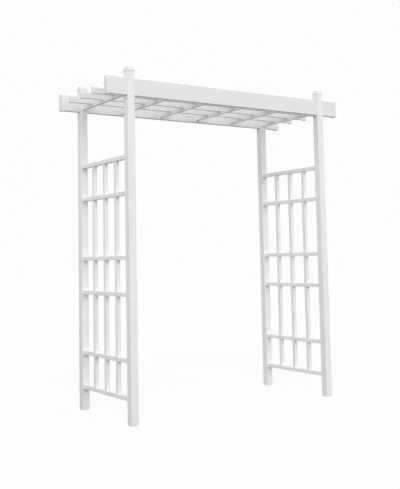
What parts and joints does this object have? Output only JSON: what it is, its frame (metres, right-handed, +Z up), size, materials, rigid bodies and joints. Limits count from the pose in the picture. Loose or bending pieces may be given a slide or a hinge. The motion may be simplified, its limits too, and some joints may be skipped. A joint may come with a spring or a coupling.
{
  "type": "garden arbor",
  "caption": "Free-standing garden arbor of white hollow vinyl: capped square posts, slatted trellis side panels, twin beams and a flat open roof grid.",
  "frame": {"origin": "on the ground at the centre of the rectangle of the four posts", "axes": "+X to the right along the beams, +Y from the front beam to the back beam, +Z up"},
  "size_m": [1.92, 0.7298, 2.2095],
  "materials": {
    "vinyl": "satin white extruded vinyl",
    "moulded_vinyl": "smooth white moulded vinyl",
    "screw_steel": "zinc plated"
  },
  "bodies": {
    "root": {"post_front_left": "vinyl", "post_front_right": "vinyl", "post_back_left": "vinyl", "post_back_right": "vinyl", "post_cap_front_left": "moulded_vinyl", "post_cap_front_right": "moulded_vinyl", "post_cap_back_left": "moulded_vinyl", "post_cap_back_right": "moulded_vinyl", "beam_front": "vinyl", "beam_back": "vinyl", "beam_cap_front_left": "moulded_vinyl", "beam_cap_front_right": "moulded_vinyl", "beam_cap_back_left": "moulded_vinyl", "beam_cap_back_right": "moulded_vinyl", "rafter_1": "vinyl", "rafter_2": "vinyl", "rafter_3": "vinyl", "rafter_4": "vinyl", "rafter_5": "vinyl", "rafter_6": "vinyl", "purlin_front": "vinyl", "purlin_middle": "vinyl", "purlin_back": "vinyl", "purlin_cap_front_left": "moulded_vinyl", "purlin_cap_front_right": "moulded_vinyl", "purlin_cap_middle_left": "moulded_vinyl", "purlin_cap_middle_right": "moulded_vinyl", "purlin_cap_back_left": "moulded_vinyl", "purlin_cap_back_right": "moulded_vinyl", "rail_left_1": "vinyl", "rail_left_2": "vinyl", "rail_left_3": "vinyl", "rail_left_4": "vinyl", "rail_left_5": "vinyl", "rail_left_6": "vinyl", "rail_right_1": "vinyl", "rail_right_2": "vinyl", "rail_right_3": "vinyl", "rail_right_4": "vinyl", "rail_right_5": "vinyl", "rail_right_6": "vinyl", "slat_left_front": "vinyl", "slat_left_middle": "vinyl", "slat_left_back": "vinyl", "slat_right_front": "vinyl", "slat_right_middle": "vinyl", "slat_right_back": "vinyl", "beam_screws": "screw_steel", "purlin_screws": "screw_steel"}
  },
  "joints": []
}
